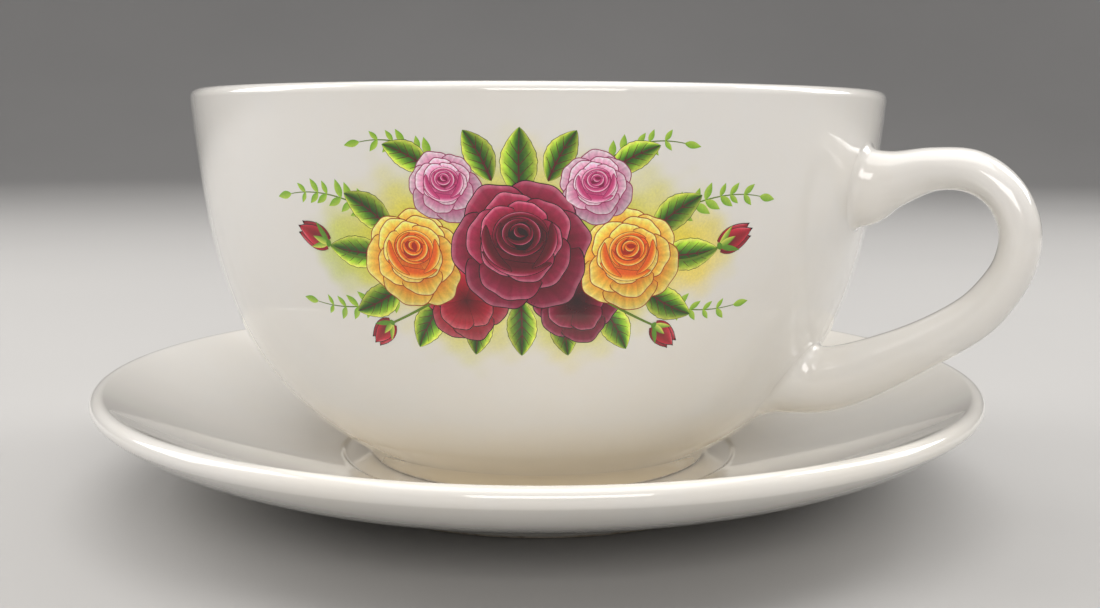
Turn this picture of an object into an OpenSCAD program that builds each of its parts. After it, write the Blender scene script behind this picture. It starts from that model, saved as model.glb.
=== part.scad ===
// Low wide teacup with a loop handle, standing in the well of its saucer.
// Millimetres, +Z up. The origin is on the cup's axis, at the level of the table.
// The handle points along +X.

/* [Cup] */
// Diameter over the rim
rim_d = 100; // [80:1:120]
// Height from the cup's foot to its rim
cup_h = 53.8; // [44:0.1:65]
// Thickness of the wall, which is also the full round of the rim
wall_t = 2.4; // [1.8:0.1:3.2]
// Thickness of the wall where it meets the foot
heel_t = 3; // [2.2:0.1:4]
// Thickness of the floor inside the foot
floor_t = 2.6; // [2:0.1:4]
// Lean of the wall below the rim, in degrees from upright
side_lean = 4.3; // [2:0.1:8]
// Slope of the bowl where it meets the foot, in degrees from level
heel_slope = 32; // [24:1:40]

/* [Cup foot] */
// Outer diameter of the band that the cup stands on
cup_foot_d = 51; // [42:0.5:62]
// Height of the foot's outer wall
cup_foot_h = 3.1; // [2.6:0.1:4.5]
// How far the foot's outer wall spreads on its way up
cup_foot_flare = 2.6; // [1:0.1:4]
// Width of the band that the cup stands on
cup_foot_band = 2.8; // [2:0.1:4]
// Height of the hollow inside the foot ring
cup_foot_hollow = 2.2; // [1:0.1:2.4]

/* [Handle] */
// Depth of the upper root's middle below the rim
root_depth = 12.3; // [10:0.1:14]
// Height of the lower root's middle above the cup's foot
root_rise = 14.2; // [12:0.1:17]
// How far the loop's middle line stands out from the roots
handle_reach = 22.4; // [18:0.1:27]
// Thickness of the loop in its own plane
grip_t = 5.2; // [4.2:0.1:6.5]
// Width of the loop across its plane
grip_w = 6.6; // [5.4:0.1:8]
// Thickness of the slip that joins each root to the bowl
slip_t = 0.4; // [0.2:0.1:0.8]
// How far the slip shows past the edge of each root
slip_rim = 0.5; // [0:0.1:1]

/* [Saucer] */
// Diameter over the lip
saucer_d = 130; // [108:1:156]
// Height of the lip above the table
saucer_h = 16.5; // [13.5:0.1:20]
// Thickness at the lip, which is fully rounded
lip_t = 2.7; // [2.2:0.1:3.2]
// Clear width round the cup's foot in the well
well_margin = 3.5; // [1:0.1:6]
// Height of the well above the table
well_h = 4.2; // [3.6:0.1:5.5]
// Depth of the step that rings the well
well_step = 0.5; // [0.3:0.05:0.9]

/* [Saucer foot] */
// Outer diameter of the saucer's foot ring
saucer_foot_d = 65; // [54:0.5:78]
// Width of the saucer's foot ring
saucer_foot_w = 3; // [2.4:0.1:4]
// Height of the hollow inside the saucer's foot ring
saucer_foot_hollow = 1.6; // [1:0.1:2]

/* [Printed transfer] */
// Length of the rose transfer round the bowl
spray_l = 64; // [40:1:70]
// Height of the rose transfer
spray_h = 31; // [20:1:32]
// Depth of the transfer's middle below the rim
spray_depth = 17.5; // [17:0.5:19]
// Direction of the transfer's middle, in degrees round the cup from the handle
spray_turn = -63; // [-100:1:-55]
// Thickness of the fired transfer
spray_t = 0.08; // [0.05:0.01:0.12]

/* [Hidden] */
// Each name is one sub-part

glaze = [0.95, 0.94, 0.91];
bisque = [0.88, 0.85, 0.79];
print_red = [0.68, 0.12, 0.22];

// Steps along one curve of an outline, sides round the handle and rings along it
curve_steps = 14;
handle_sides = 20;
handle_rings = 60;

// Radius that softens the edges of a standing band
band_edge = 0.45;

rim_r = rim_d / 2;
cup_z = well_h;
rim_z = cup_z + cup_h;
hollow_z = cup_z + cup_foot_hollow;
floor_z = hollow_z + floor_t;
foot_r = cup_foot_d / 2;
heel = [foot_r + cup_foot_flare, cup_z + cup_foot_h];
saucer_r = saucer_d / 2;
well_r = foot_r + well_margin;
lip_r = lip_t / 2;

// Points on a cubic Bezier curve from a to d
function bezier(a, b, c, d, steps = curve_steps) =
    [for (i = [0:steps]) let (t = i / steps, s = 1 - t)
        a * s * s * s + 3 * b * s * s * t + 3 * c * s * t * t + d * t * t * t];

// Unit vector at an angle in the plane
function heading(angle) = [cos(angle), sin(angle)];

// Points on a circular arc round a centre, from one angle to another
function arc(centre, r, from, to, steps = 8) =
    [for (i = [0:steps]) centre + r * heading(from + (to - from) * i / steps)];

// Unit vector to the left of a line of points, at its point i
function left_of(points, i) =
    let (ahead = points[min(i + 1, len(points) - 1)] - points[max(i - 1, 0)])
        [-ahead[1], ahead[0]] / norm(ahead);

function reversed(points) = [for (i = [len(points) - 1:-1:0]) points[i]];

// Value at a place along evenly spaced values, smoothed by a Catmull-Rom curve
function smooth(values, place) =
    let (
        last = len(values) - 1,
        i = min(floor(place), last - 1),
        t = place - i,
        b = values[i],
        c = values[i + 1],
        a = i > 0 ? values[i - 1] : 2 * b - c,
        d = i < last - 1 ? values[i + 2] : 2 * c - b
    )
        b + 0.5 * t * (c - a + t * (2 * a - 5 * b + 4 * c - d + t * (3 * (b - c) + d - a)));

// ---- Bowl ----

// The outside runs from just under the rim to the heel, almost straight at first
side_top = [rim_r, rim_z - wall_t / 2 * (1 + sin(side_lean))];
side_reach = 0.57 * (side_top[1] - heel[1]);
heel_reach = 0.81 * (rim_r - heel[0]);
bowl_side = bezier(
    side_top,
    side_top + side_reach * heading(-90 - side_lean),
    heel + heel_reach * heading(heel_slope),
    heel,
    2 * curve_steps
);

// The inside follows it, and the wall thickens evenly down to the heel
side_steps = len(bowl_side) - 1;
bowl_inside = [for (i = [0:side_steps])
    bowl_side[i] - left_of(bowl_side, i) * (wall_t + (heel_t - wall_t) * i / side_steps)];

// The floor flattens towards the cup's axis
inside_end = bowl_inside[side_steps];
floor_fall = (inside_end[1] - floor_z) / tan(heel_slope);
bowl_floor = bezier(
    inside_end,
    inside_end - [floor_fall, inside_end[1] - floor_z],
    [inside_end[0] - 3 * floor_fall, floor_z],
    [inside_end[0] / 2, floor_z]
);

// Under the foot the heel's slope carries on to the level of the hollow
heel_inner = heel - [(heel[1] - hollow_z) / tan(heel_slope), heel[1] - hollow_z];

// The bowl's outside, grown by a thickness
function grown_side(t) = [for (i = [0:side_steps]) bowl_side[i] + left_of(bowl_side, i) * t];

// Radius of the bowl's outside at a height
function bowl_radius(z) = lookup(z, [for (p = bowl_side) [p[1], p[0]]]);

module cup_bowl() {
    rim_middle = (bowl_side[0] + bowl_inside[0]) / 2;
    color(glaze)
        rotate_extrude($fn = 96)
            polygon(concat(
                [[0, hollow_z], heel_inner],
                reversed(bowl_side),
                arc(rim_middle, wall_t / 2, -side_lean + 15, 165 - side_lean, 10),
                bowl_inside,
                [for (i = [1:len(bowl_floor) - 1]) bowl_floor[i]],
                [[0, floor_z]]
            ));
}

// ---- Foot rings ----

// Outline of a ring's standing band, from its inner wall to its outer wall, with soft edges.
// Each angle is the direction that the wall above the edge faces.
function band(inner_r, outer_r, z, inner_face, outer_face) = concat(
    arc([inner_r + band_edge, z + band_edge], band_edge, inner_face, 270, 5),
    arc([outer_r - band_edge, z + band_edge], band_edge, 270, outer_face, 5)
);

module cup_foot_ring() {
    inner_r = foot_r - cup_foot_band;
    outer_face = 360 - atan(cup_foot_flare / cup_foot_h);
    color(glaze)
        rotate_extrude($fn = 96)
            polygon(concat(
                [[inner_r - cup_foot_hollow / 4, hollow_z]],
                band(inner_r, foot_r, cup_z, 194, outer_face),
                [heel, heel_inner]
            ));
}

// ---- Handle ----

// The loop's middle line: each pair is a share of the reach outwards and of the drop downwards.
// Both ends start inside the bowl, whose wall then cuts them off.
loop_path = [[-0.14, 0], [0.03, 0], [0.17, -0.03], [0.37, -0.078], [0.59, -0.07],
    [0.8, 0.025], [0.95, 0.18], [1, 0.34], [0.97, 0.48], [0.88, 0.615], [0.67, 0.76],
    [0.4, 0.9], [0.2, 0.968], [0.015, 0.99], [-0.27, 1]];
// Thickness and width at the same places, as shares of the grip's
loop_thick = [2.4, 2.05, 1.42, 1.08, 1.04, 0.98, 0.98, 1, 1.06, 1.14, 1.23, 1.5, 1.69, 1.75, 1.75];
loop_wide = [1.5, 1.35, 1.12, 1, 1, 1, 1, 1, 1, 1.02, 1.06, 1.15, 1.28, 1.4, 1.5];

root_top = [bowl_radius(rim_z - root_depth), rim_z - root_depth];
root_low = [bowl_radius(cup_z + root_rise), cup_z + root_rise];
loop_points = [for (p = loop_path)
    root_top + (root_low - root_top) * p[1] + [handle_reach * p[0], 0]];
loop_last = len(loop_path) - 1;

// One oval ring of points across the loop, at a place along it
function loop_ring(place) =
    let (
        step = 0.01,
        from = smooth(loop_points, max(place - step, 0)),
        to = smooth(loop_points, min(place + step, loop_last)),
        across = [from[1] - to[1], to[0] - from[0]] / norm(to - from),
        middle = smooth(loop_points, place),
        half_t = grip_t * smooth(loop_thick, place) / 2,
        half_w = grip_w * smooth(loop_wide, place) / 2
    )
        [for (k = [0:handle_sides - 1]) let (a = 360 * k / handle_sides)
            [middle[0] + across[0] * half_t * cos(a),
             half_w * sin(a),
             middle[1] + across[1] * half_t * cos(a)]];

// Skin between the rings, two triangles for each side
function loop_skin() = [for (i = [0:handle_rings - 1], k = [0:handle_sides - 1])
    let (
        next = (k + 1) % handle_sides,
        near = i * handle_sides,
        far = near + handle_sides
    )
        each [[near + k, far + k, far + next], [near + k, far + next, near + next]]];

// The bowl and its slip as one block, without the hollow
module root_cutter() {
    side = grown_side(slip_t);
    rotate_extrude($fn = 96)
        polygon(concat([[0, side[side_steps][1]]], reversed(side), [[side[0][0], rim_z], [0, rim_z]]));
}

module cup_handle() {
    last_ring = handle_rings * handle_sides;
    color(glaze)
        difference() {
            polyhedron(
                points = [for (i = [0:handle_rings]) each loop_ring(loop_last * i / handle_rings)],
                faces = concat(
                    [[for (k = [0:handle_sides - 1]) k]],
                    loop_skin(),
                    [[for (k = [handle_sides - 1:-1:0]) last_ring + k]]
                )
            );
            root_cutter();
        }
}

// A skin of even thickness on the bowl's outside, where a prism seen from one side meets it
module skin_patch(t, turn) {
    intersection() {
        rotate_extrude($fn = 96)
            polygon(concat(
                [for (i = [side_steps - 1:-1:1]) bowl_side[i]],
                [for (i = [1:side_steps - 1]) grown_side(t)[i]]
            ));
        rotate([90, 0, turn + 90])
            linear_extrude(rim_d)
                children();
    }
}

// Slip under one root: an oval, from its lower to its upper edge
module slip_joint(low_z, high_z, width) {
    middle_z = (low_z + high_z) / 2;
    half_h = (high_z - low_z) / 2 + slip_rim;
    half_w = width / 2 + slip_rim;
    color(glaze)
        skin_patch(slip_t, 0)
            polygon([for (a = [0:12:348]) [half_w * cos(a), middle_z + half_h * sin(a)]]);
}

module upper_slip_joint() {
    half_h = grip_t * loop_thick[1] / 2;
    slip_joint(root_top[1] - half_h, root_top[1] + half_h, grip_w * loop_wide[1]);
}

module lower_slip_joint() {
    half_h = grip_t * loop_thick[loop_last - 1] / 2;
    slip_joint(root_low[1] - half_h, root_low[1] + half_h, grip_w * loop_wide[loop_last - 1]);
}

// ---- Printed transfer ----

// The spray's outline: an oval with a few gentle lobes, as wide and high as stated
spray_steps = 60;
spray_lobe = 0.05;
function spray_edge() = [for (i = [0:spray_steps - 1])
    let (
        a = 360 * i / spray_steps,
        lobe = (1 - spray_lobe + spray_lobe * cos(6 * a)),
        half_l = rim_r * sin(spray_l * 90 / (PI * rim_r))
    )
        [half_l * lobe * cos(a), rim_z - spray_depth + spray_h / 2 * lobe * sin(a)]];

module rose_transfer() {
    color(print_red)
        skin_patch(spray_t, spray_turn)
            polygon(spray_edge());
}

// ---- Saucer ----

// The top curves up from the well's step to the lip, and the underside from the foot
lip_middle = [saucer_r - lip_r, saucer_h - lip_r];
lip_slope_top = 30;
lip_slope_under = 42;
rise_start = [well_r + 1.5, well_h + well_step];
rise_end = lip_middle + lip_r * heading(90 + lip_slope_top);
rise_reach = 0.37 * (saucer_r - rise_start[0]);
saucer_foot_r = saucer_foot_d / 2;
under_start = [saucer_foot_r, saucer_foot_hollow + 1];
under_end = lip_middle + lip_r * heading(lip_slope_under - 90);
under_reach = 0.3 * (saucer_r - saucer_foot_r);
under_inner = [saucer_foot_r - saucer_foot_w, saucer_foot_hollow];

module saucer_dish() {
    step_up = bezier(
        [well_r, well_h],
        [well_r + 0.8, well_h],
        rise_start - 0.8 * heading(8),
        rise_start,
        5
    );
    top = bezier(
        rise_start,
        rise_start + rise_reach * heading(8),
        rise_end - rise_reach * heading(lip_slope_top),
        rise_end
    );
    under = bezier(
        under_start,
        under_start + under_reach * heading(11),
        under_end - under_reach * heading(lip_slope_under),
        under_end
    );
    color(glaze)
        rotate_extrude($fn = 96)
            polygon(concat(
                [[0, saucer_foot_hollow], under_inner],
                under,
                arc(lip_middle, lip_r, lip_slope_under - 75, 75 + lip_slope_top, 9),
                reversed(top),
                [for (i = [len(step_up) - 2:-1:0]) step_up[i]],
                [[0, well_h]]
            ));
}

module saucer_foot_ring() {
    inner_r = saucer_foot_r - saucer_foot_w;
    color(glaze)
        rotate_extrude($fn = 96)
            polygon(concat(
                [under_inner],
                band(inner_r + 0.25, saucer_foot_r - 0.3, 0, 188, 352),
                [under_start]
            ));
}

cup_bowl();
cup_foot_ring();
cup_handle();
upper_slip_joint();
lower_slip_joint();
rose_transfer();
saucer_dish();
saucer_foot_ring();
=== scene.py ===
"""Looks of a porcelain teacup and saucer: glazed ware with a printed rose spray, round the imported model."""
import math

import bpy
import numpy as np
from mathutils import Matrix, Vector


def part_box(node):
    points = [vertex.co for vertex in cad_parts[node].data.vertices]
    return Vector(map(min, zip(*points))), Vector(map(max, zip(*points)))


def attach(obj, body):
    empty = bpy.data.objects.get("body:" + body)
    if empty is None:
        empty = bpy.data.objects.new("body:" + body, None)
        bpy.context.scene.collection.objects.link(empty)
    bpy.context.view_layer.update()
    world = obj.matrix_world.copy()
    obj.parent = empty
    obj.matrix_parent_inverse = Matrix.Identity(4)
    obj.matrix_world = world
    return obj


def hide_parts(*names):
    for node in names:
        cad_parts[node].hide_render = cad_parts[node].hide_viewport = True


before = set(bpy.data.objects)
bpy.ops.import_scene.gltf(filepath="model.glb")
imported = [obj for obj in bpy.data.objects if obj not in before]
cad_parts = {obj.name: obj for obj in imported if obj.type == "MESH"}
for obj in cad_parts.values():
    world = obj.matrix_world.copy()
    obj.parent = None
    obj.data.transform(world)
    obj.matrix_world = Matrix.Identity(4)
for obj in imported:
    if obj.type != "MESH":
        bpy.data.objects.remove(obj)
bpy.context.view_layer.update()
MM = 0.001

# ---------------------------------------------------------------- sizes from the frame, in metres
RIM_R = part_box("cup_bowl")[1].x
RIM_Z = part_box("cup_bowl")[1].z
HEEL_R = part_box("cup_foot_ring")[1].x
HEEL_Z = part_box("cup_foot_ring")[1].z
CUP_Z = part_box("cup_foot_ring")[0].z
SAUCER_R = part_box("saucer_dish")[1].x
SAUCER_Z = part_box("saucer_dish")[1].z
DISH_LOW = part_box("saucer_dish")[0].z
SAUCER_FOOT_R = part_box("saucer_foot_ring")[1].x

# ---------------------------------------------------------------- sizes that the ware is made to
# Cup
WALL = 2.4 * MM
HEEL_WALL = 3.0 * MM
HOLLOW = 2.2 * MM  # depth of the hollow under the cup
FLOOR = 2.6 * MM  # thickness of the cup's floor
HOLLOW_Z = CUP_Z + HOLLOW
FLOOR_Z = HOLLOW_Z + FLOOR
SIDE_LEAN = math.radians(4.3)
HEEL_SLOPE = math.radians(32)
CUP_BAND = 2.8 * MM  # width of the band that the cup stands on
FOOT_FLARE = 2.6 * MM
FOOT_R = HEEL_R - FOOT_FLARE
BAND_EDGE = 0.45 * MM
FLARE_FROM, FLARE_TO = 62, 36  # slope of the foot's flare at the band and at the heel, in degrees
# Saucer
LIP = 2.7 * MM / 2  # radius of the full-round lip
WELL_Z = CUP_Z
WELL_R = FOOT_R + 3.5 * MM
WELL_STEP = 0.5 * MM  # height of the step round the well
STEP_RUN = 1.5 * MM
RISE_FROM, RISE_TO = 8, 30  # slope of the dish's top at the step and at the lip, in degrees
UNDER_FROM, UNDER_TO = 11, 42  # slope of its underside at the foot and at the lip
SAUCER_BAND = 3 * MM

TURNS = 288  # faces round a revolved piece
TINY = 1e-9


# ---------------------------------------------------------------- outlines
def bezier(a, b, c, d, steps):
    """Points on a cubic Bezier curve, as an array of rows."""
    t = np.linspace(0, 1, steps + 1)[:, None]
    a, b, c, d = (np.asarray(p, float) for p in (a, b, c, d))
    return a * (1 - t) ** 3 + 3 * b * (1 - t) ** 2 * t + 3 * c * (1 - t) * t * t + d * t**3


def level(r_from, r_to, z, steps):
    """Points along a level run of an outline."""
    return np.c_[np.linspace(r_from, r_to, steps + 1), np.full(steps + 1, z)]


def heading(angle):
    """The unit vector at an angle in radians."""
    return np.array([math.cos(angle), math.sin(angle)])


def arc(centre, radius, start, end, steps):
    """Points on an arc, with its two angles in degrees."""
    angles = np.radians(np.linspace(start, end, steps + 1))
    return np.asarray(centre, float) + radius * np.c_[np.cos(angles), np.sin(angles)]


def left_of(points):
    """Unit vectors to the left of a line of points."""
    ahead = np.gradient(points, axis=0)
    ahead /= np.linalg.norm(ahead, axis=1)[:, None]
    return np.c_[-ahead[:, 1], ahead[:, 0]]


def joined(*runs):
    """One outline from several runs of points, without doubled points."""
    line = np.vstack([np.atleast_2d(np.asarray(r, float)) for r in runs])
    keep = np.r_[True, np.linalg.norm(np.diff(line, axis=0), axis=1) > 1e-7]
    return line[keep]


# The bowl's outside, from just under the rim down to the heel, as in the CAD design
SIDE_TOP = np.array([RIM_R, RIM_Z - WALL / 2 * (1 + math.sin(SIDE_LEAN))])
SIDE_END = np.array([HEEL_R, HEEL_Z])
BOWL_SIDE = bezier(
    SIDE_TOP,
    SIDE_TOP + 0.57 * (SIDE_TOP[1] - HEEL_Z) * heading(-math.pi / 2 - SIDE_LEAN),
    SIDE_END + 0.81 * (RIM_R - HEEL_R) * heading(HEEL_SLOPE),
    SIDE_END,
    120,
)
BOWL_OUT = left_of(BOWL_SIDE)
# Where the bowl's underside meets the foot ring
HEEL_INNER = SIDE_END - [(HEEL_Z - HOLLOW_Z) / math.tan(HEEL_SLOPE), HEEL_Z - HOLLOW_Z]


def bowl_radius(z):
    """Radius of the bowl's outside at a height."""
    return np.interp(z, BOWL_SIDE[::-1, 1], BOWL_SIDE[::-1, 0])


def bowl_slope(z):
    """The outward unit normal (r, z) of the bowl's outside at a height."""
    nr = np.interp(z, BOWL_SIDE[::-1, 1], BOWL_OUT[::-1, 0])
    nz = np.interp(z, BOWL_SIDE[::-1, 1], BOWL_OUT[::-1, 1])
    size = np.hypot(nr, nz)
    return nr / size, nz / size


# ---------------------------------------------------------------- meshes
SHARP_FROM = math.radians(50)  # edges steeper than this stay crisp


def new_mesh(name, points, faces, body, material, sharp=True):
    """A smooth-shaded piece that rides on a body. Where sharp is true, its steep corners stay crisp."""
    mesh = bpy.data.meshes.new(name)
    mesh.from_pydata([tuple(p) for p in points], [], [tuple(f) for f in faces])
    mesh.update()
    piece = bpy.data.objects.new(name, mesh)
    bpy.context.scene.collection.objects.link(piece)
    mesh.materials.append(material)
    mesh.shade_smooth()
    if sharp:
        mesh.set_sharp_from_angle(angle=SHARP_FROM)
    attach(piece, body)
    return piece


def revolved(name, outline, body, material, closed=False):
    """A piece turned from an outline of (radius, height) points, which runs with the solid on its left."""
    on_axis = outline[:, 0] < TINY
    angles = np.linspace(0, 2 * math.pi, TURNS, endpoint=False)
    points, first = [], []
    for (r, z), pole in zip(outline, on_axis):
        first.append(len(points))
        if pole:
            points.append((0.0, 0.0, z))
        else:
            points.extend((r * math.cos(a), r * math.sin(a), z) for a in angles)
    faces = []
    pairs = list(zip(range(len(outline) - 1), range(1, len(outline))))
    if closed:
        pairs.append((len(outline) - 1, 0))
    for i, j in pairs:
        for k in range(TURNS):
            n = (k + 1) % TURNS
            if on_axis[i]:
                faces.append((first[i], first[j] + n, first[j] + k))
            elif on_axis[j]:
                faces.append((first[i] + k, first[i] + n, first[j]))
            else:
                faces.append((first[i] + k, first[i] + n, first[j] + n, first[j] + k))
    return new_mesh(name, points, faces, body, material)


def tube_faces(rings, sides):
    """Faces between the rings of a tube, whose points run ring by ring."""
    faces = []
    for i in range(rings - 1):
        a, b = i * sides, (i + 1) * sides
        for k in range(sides):
            n = (k + 1) % sides
            faces.append((a + k, a + n, b + n, b + k))
    return faces


# ---------------------------------------------------------------- material tools
def nodes_of(material):
    material.use_nodes = True
    tree = material.node_tree
    shader = next(n for n in tree.nodes if n.type == "BSDF_PRINCIPLED")
    return tree, shader


def node(tree, kind, **values):
    """A node with its settings and unlinked inputs set by name."""
    made = tree.nodes.new(kind)
    for key, value in values.items():
        if key in made.inputs:
            made.inputs[key].default_value = value
        else:
            setattr(made, key, value)
    return made


def feed(tree, socket, value):
    """Gives a socket a link, a colour or a number."""
    if isinstance(value, bpy.types.NodeSocket):
        tree.links.new(value, socket)
    elif isinstance(value, tuple):
        socket.default_value = (*value, 1.0)
    else:
        socket.default_value = value


def noise(tree, where, scale, detail=3.0, roughness=0.5):
    made = node(tree, "ShaderNodeTexNoise", Scale=scale, Detail=detail, Roughness=roughness)
    tree.links.new(where, made.inputs["Vector"])
    return made.outputs["Fac"]


def ramp(tree, value, low, high, low_to=0.0, high_to=1.0):
    """A value moved from one range to another and held inside it."""
    made = node(tree, "ShaderNodeMapRange", clamp=True)
    made.inputs["From Min"].default_value = low
    made.inputs["From Max"].default_value = high
    made.inputs["To Min"].default_value = low_to
    made.inputs["To Max"].default_value = high_to
    tree.links.new(value, made.inputs["Value"])
    return made.outputs["Result"]


def mix(tree, share, a, b):
    """A colour mix: each of share, a and b is a socket or a value."""
    made = node(tree, "ShaderNodeMix", data_type="RGBA")
    for socket, value in ((made.inputs[0], share), (made.inputs[6], a), (made.inputs[7], b)):
        feed(tree, socket, value)
    return made.outputs[2]


def mix_number(tree, share, a, b):
    made = node(tree, "ShaderNodeMix", data_type="FLOAT")
    for socket, value in ((made.inputs[0], share), (made.inputs[2], a), (made.inputs[3], b)):
        feed(tree, socket, value)
    return made.outputs[0]


def maths(tree, operation, a, b):
    made = node(tree, "ShaderNodeMath", operation=operation)
    for socket, value in zip(made.inputs, (a, b)):
        feed(tree, socket, value)
    return made.outputs[0]


def where_socket(tree):
    return node(tree, "ShaderNodeTexCoord").outputs["Object"]


# ---------------------------------------------------------------- materials of the ware
BODY_WHITE = (0.79, 0.777, 0.745)
BODY_WARM = (0.77, 0.745, 0.69)
BODY_COOL = (0.77, 0.775, 0.765)
SPECK = (0.33, 0.25, 0.17)
# Warm tint for glaze pooled low on the cup, also used as painted shade on its down-facing faces
POOL_AND_SHADE = (0.90, 0.73, 0.44)
BISQUE = (0.74, 0.68, 0.58)
BISQUE_DARK = (0.55, 0.48, 0.38)
BISQUE_ROUGH = 0.75

# Texture scales, in cells to the metre
DRIFT_CELLS = 22.0
CLOUD_CELLS = 160.0
SPECK_CELLS = 150.0
GLOSS_CELLS = 60.0
RIPPLE_CELLS = 70.0
WANDER_CELLS = 180.0
CLAY_CELLS = 900.0

GLAZE_IOR = 1.5
GLAZE_ROUGH = (0.09, 0.15)
GLAZE_RIPPLE = 0.07
RIPPLE_DEPTH = 0.35 * MM
POOL_AND_SHADE_FADE = 10 * MM  # over this height the pooled glaze and its painted shade fade out upwards
BARE_EDGE = 0.12 * MM  # how soft the edge of the bare clay is, and how far it wanders
BARE_RISE = 0.3 * MM  # how high the bare clay reaches over the standing edge


def body_colour(tree, where):
    """White body under clear glaze: broad warm and cool drifts and a few pinhead specks."""
    drift = ramp(tree, noise(tree, where, DRIFT_CELLS, 2.0), 0.35, 0.7)
    fine = ramp(tree, noise(tree, where, CLOUD_CELLS, 4.0, 0.6), 0.45, 0.75, 0.0, 0.35)
    colour = mix(tree, drift, BODY_WHITE, BODY_WARM)
    colour = mix(tree, fine, colour, BODY_COOL)
    cells = node(tree, "ShaderNodeTexVoronoi", Scale=SPECK_CELLS, Randomness=1.0)
    tree.links.new(where, cells.inputs["Vector"])
    chosen = node(tree, "ShaderNodeSeparateColor")
    tree.links.new(cells.outputs["Color"], chosen.inputs["Color"])
    dot = ramp(tree, cells.outputs["Distance"], 0.016, 0.03, 1.0, 0.0)
    rare = ramp(tree, chosen.outputs[0], 0.955, 0.96, 0.0, 0.6)
    return mix(tree, maths(tree, "MULTIPLY", dot, rare), colour, SPECK)


def glaze_surface(tree, shader, where):
    """Clear glossy glaze: a hard coat over the body, with the faint ripple of fired glaze."""
    shader.inputs["IOR"].default_value = GLAZE_IOR
    shader.inputs["Specular IOR Level"].default_value = 0.25
    shader.inputs["Coat Weight"].default_value = 0.9
    shader.inputs["Coat Roughness"].default_value = 0.025
    shader.inputs["Coat IOR"].default_value = GLAZE_IOR
    gloss = ramp(tree, noise(tree, where, GLOSS_CELLS, 2.0), 0.3, 0.7, *GLAZE_ROUGH)
    tree.links.new(gloss, shader.inputs["Roughness"])
    ripple = node(tree, "ShaderNodeBump", Strength=GLAZE_RIPPLE, Distance=RIPPLE_DEPTH)
    tree.links.new(noise(tree, where, RIPPLE_CELLS, 1.0), ripple.inputs["Height"])
    tree.links.new(ripple.outputs["Normal"], shader.inputs["Normal"])
    tree.links.new(ripple.outputs["Normal"], shader.inputs["Coat Normal"])


def pool_and_shade_tint(tree, colour, height, pool_and_shade_z):
    """Tints the glaze low on the outside where it faces down: glaze pooled near the heel, with painted shade
    on the faces turned down.
    """
    normal = node(tree, "ShaderNodeSeparateXYZ")
    tree.links.new(node(tree, "ShaderNodeTexCoord").outputs["Normal"], normal.inputs[0])
    low = ramp(tree, height, pool_and_shade_z, pool_and_shade_z + POOL_AND_SHADE_FADE, 0.6, 0.0)
    # Painted shade: only faces turned downwards take the tint
    under = ramp(tree, normal.outputs["Z"], -0.30, 0.0, 1.0, 0.0)
    return mix(tree, maths(tree, "MULTIPLY", low, under), colour, POOL_AND_SHADE)


def wiped(tree, shader, colour, where, height, band_z):
    """Bares the clay below a height, where the glaze is wiped off before firing."""
    wander = ramp(tree, noise(tree, where, WANDER_CELLS, 3.0), 0.0, 1.0, -BARE_EDGE, BARE_EDGE)
    bare = ramp(tree, maths(tree, "ADD", height, wander), band_z, band_z + BARE_EDGE, 1.0, 0.0)
    clay = mix(tree, ramp(tree, noise(tree, where, CLAY_CELLS, 4.0), 0.4, 0.7), BISQUE, BISQUE_DARK)
    glossy = shader.inputs["Roughness"].links[0].from_socket
    tree.links.new(mix_number(tree, bare, glossy, BISQUE_ROUGH), shader.inputs["Roughness"])
    return mix(tree, bare, colour, clay)


def glaze(name, band_z=None, pool_and_shade_z=None):
    """Glazed porcelain. Bare clay shows below band_z, and below and just above pool_and_shade_z the glaze has
    pooled, with painted shade where it faces down.
    """
    material = bpy.data.materials.new(name)
    tree, shader = nodes_of(material)
    where = where_socket(tree)
    colour = body_colour(tree, where)
    glaze_surface(tree, shader, where)
    axes = node(tree, "ShaderNodeSeparateXYZ")
    tree.links.new(where, axes.inputs[0])
    height = axes.outputs["Z"]
    if pool_and_shade_z is not None:
        # Pooled glaze near the heel, with painted shade on the faces that turn down
        colour = pool_and_shade_tint(tree, colour, height, pool_and_shade_z)
    if band_z is not None:
        colour = wiped(tree, shader, colour, where, height, band_z)
    tree.links.new(colour, shader.inputs["Base Color"])
    return material


CUP_GLAZE = glaze("cup_glaze", pool_and_shade_z=HEEL_Z)
CUP_FOOT_GLAZE = glaze("cup_foot_glaze", CUP_Z + BARE_RISE, HEEL_Z)
SAUCER_GLAZE = glaze("saucer_glaze")
SAUCER_FOOT_GLAZE = glaze("saucer_foot_glaze", BARE_RISE)


# ---------------------------------------------------------------- bowl and its foot
def make_bowl():
    steps = np.linspace(0, 1, len(BOWL_SIDE))[:, None]
    inside = BOWL_SIDE - BOWL_OUT * (WALL + (HEEL_WALL - WALL) * steps)
    rim_middle = (BOWL_SIDE[0] + inside[0]) / 2
    lean = math.degrees(SIDE_LEAN)
    end = inside[-1]
    drop = end[1] - FLOOR_Z
    fall = drop / math.tan(HEEL_SLOPE)
    outline = joined(
        [0, HOLLOW_Z],
        level(0.4 * HEEL_INNER[0], HEEL_INNER[0], HOLLOW_Z, 8),
        BOWL_SIDE[::-1],
        arc(rim_middle, WALL / 2, -lean, 180 - lean, 28),
        inside,
        bezier(end, end - [fall, drop], [end[0] - 3 * fall, FLOOR_Z], [end[0] / 2, FLOOR_Z], 24),
        level(end[0] / 2, 0, FLOOR_Z, 6),
    )
    piece = revolved("bowl", outline, "cup", CUP_GLAZE)
    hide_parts("cup_bowl")


def standing_band(inner, outer, z):
    """A band's outline from its inner wall to its outer wall, with soft edges."""
    return joined(
        arc([inner + BAND_EDGE, z + BAND_EDGE], BAND_EDGE, 190, 270, 8),
        arc([outer - BAND_EDGE, z + BAND_EDGE], BAND_EDGE, 270, 325, 8),
    )


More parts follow.
